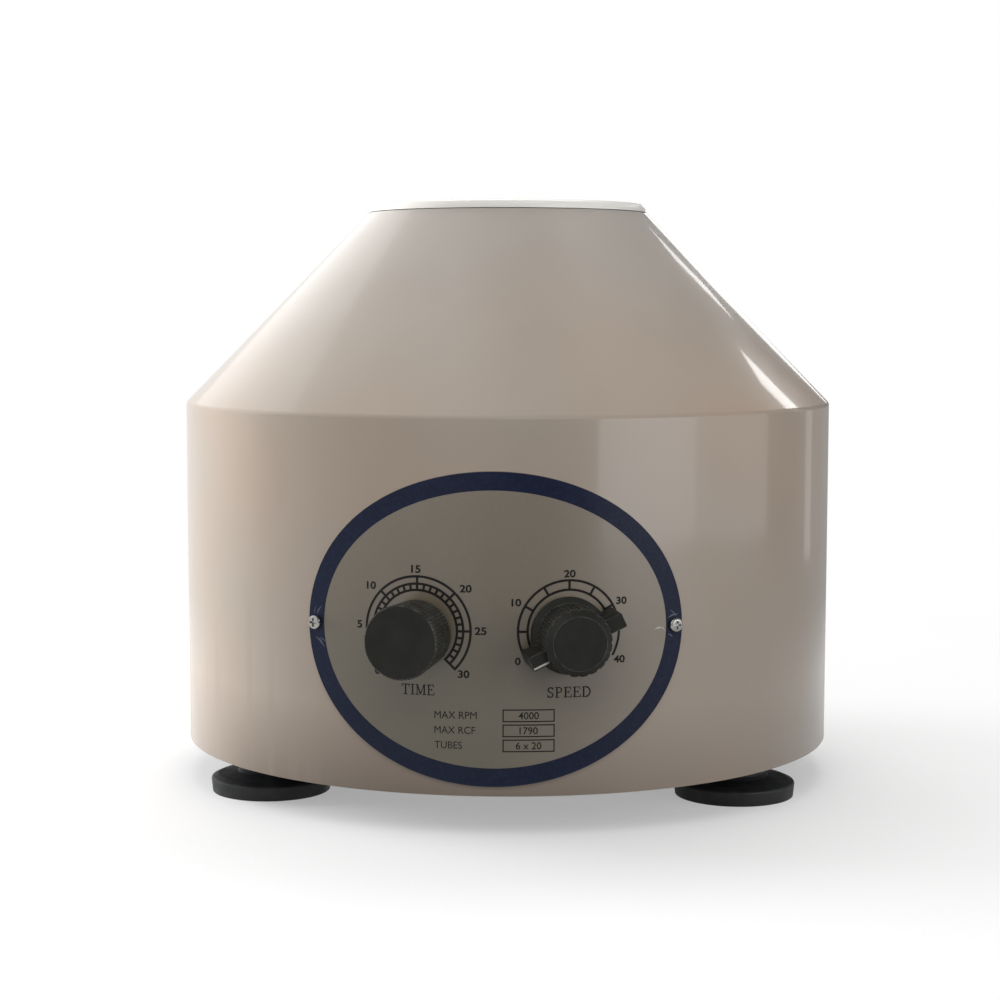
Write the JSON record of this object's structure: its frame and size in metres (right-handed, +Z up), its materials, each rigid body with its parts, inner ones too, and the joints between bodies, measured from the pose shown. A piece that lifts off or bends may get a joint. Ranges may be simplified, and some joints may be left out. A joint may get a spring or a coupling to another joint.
{
  "type": "bench centrifuge",
  "caption": "Small round bench centrifuge: domed cone housing on sucker feet, hinged lid, angle rotor on a vertical motor, timer and speed knobs on an oval panel.",
  "frame": {"origin": "on the rotor axis at bench level, under the middle of the round housing", "axes": "+Z up along the rotor axis; the control panel faces -Y and the mains inlet faces +Y; +X is to the right of someone facing the panel"},
  "size_m": [0.28, 0.3254, 0.2493],
  "materials": {
    "ivory_plastic": "glossy moulded plastic, warm grey ivory",
    "lid_plastic": "glossy moulded plastic, paler than the housing",
    "panel_plate": "thin printed plate, satin lacquer",
    "knob_grey": "satin moulded plastic",
    "black_rubber": "moulded rubber",
    "black_plastic": "satin moulded plastic",
    "plated_steel": "zinc plated",
    "chrome_screw": "nickel plated",
    "painted_steel": "grey enamel",
    "bright_steel": "ground steel",
    "cast_aluminium": "turned and cast aluminium",
    "core_iron": "stacked laminations",
    "copper": "enamelled copper wire",
    "brass_parts": "bright brass",
    "carbon": "pressed carbon",
    "sleeve_plastic": "moulded blue-grey plastic",
    "board_green": "varnished board",
    "clear_glass": "clear glass",
    "lead_sheath": "soft sheathed leads"
  },
  "bodies": {
    "chassis": {"housing": "ivory_plastic", "rear_frame": "ivory_plastic", "base_plate": "painted_steel", "case_screws": "plated_steel", "foot_front_left": "black_rubber", "foot_front_right": "black_rubber", "foot_rear": "black_rubber", "foot_studs": "plated_steel", "foot_nuts": "plated_steel", "motor_isolators": "black_rubber", "isolator_bolts": "plated_steel", "motor_plate": "painted_steel", "frame_screws": "plated_steel", "motor_can": "painted_steel", "motor_lower_cap": "cast_aluminium", "motor_upper_cap": "cast_aluminium", "motor_tie_rods": "plated_steel", "stator_core": "core_iron", "field_coils": "copper", "brush_holders": "brass_parts", "carbon_brushes": "carbon", "brush_springs": "plated_steel", "bearing_outer_rings": "bright_steel", "deck_posts": "plated_steel", "chamber_bowl": "painted_steel", "control_panel": "panel_plate", "panel_screws": "chrome_screw", "control_nuts": "plated_steel", "timer_body": "black_plastic", "speed_pot": "plated_steel", "control_board": "board_green", "heatsink": "cast_aluminium", "board_parts": "black_plastic", "mains_inlet": "black_plastic", "inlet_pins": "brass_parts", "fuse_holder": "black_plastic", "switch_body": "black_plastic", "hinge_base": "ivory_plastic", "hinge_pin": "plated_steel", "wiring": "lead_sheath"},
    "lid": {"lid_shell": "lid_plastic", "lid_knob": "lid_plastic", "lid_gasket": "black_rubber"},
    "rotor": {"motor_shaft": "bright_steel", "armature_core": "core_iron", "armature_winding": "copper", "commutator": "copper", "cooling_fan": "black_plastic", "bearing_inner_sets": "bright_steel", "rotor_head": "cast_aluminium", "tube_sleeves": "sleeve_plastic", "sleeve_cushions": "black_rubber", "rotor_nut": "plated_steel"},
    "time_control": {"timer_knob": "knob_grey", "timer_shaft": "plated_steel"},
    "speed_control": {"speed_knob": "knob_grey", "speed_shaft": "plated_steel"},
    "fuse_drawer": {"fuse_cap": "black_plastic", "fuse_link": "clear_glass"},
    "power_rocker": {"switch_rocker": "black_plastic"}
  },
  "joints": [
    {"name": "lid_hinge", "type": "hinge", "parent": "chassis", "child": "lid", "pos_m": [0, 0.067, 0.2452], "axis": [-1, 0, 0], "range_deg": [0, 105]},
    {"name": "rotor_spin", "type": "hinge", "parent": "chassis", "child": "rotor", "pos_m": [0, 0, 0.1], "axis": [0, 0, 1], "continuous": true},
    {"name": "time_knob", "type": "hinge", "parent": "chassis", "child": "time_control", "pos_m": [-0.0286, -0.13705, 0.07925], "axis": [0.2043, 0.9789, 0], "range_deg": [0, 270]},
    {"name": "speed_knob_turn", "type": "hinge", "parent": "chassis", "child": "speed_control", "pos_m": [0.0286, -0.13705, 0.07925], "axis": [-0.2043, 0.9789, 0], "range_deg": [0, 240]},
    {"name": "fuse_cap_turn", "type": "hinge", "parent": "chassis", "child": "fuse_drawer", "pos_m": [-0.014, 0.15, 0.057], "axis": [0, 1, 0], "range_deg": [0, 90]},
    {"name": "power_switch", "type": "hinge", "parent": "chassis", "child": "power_rocker", "pos_m": [-0.036, 0.1475, 0.057], "axis": [-1, 0, 0], "range_deg": [0, 16]}
  ]
}
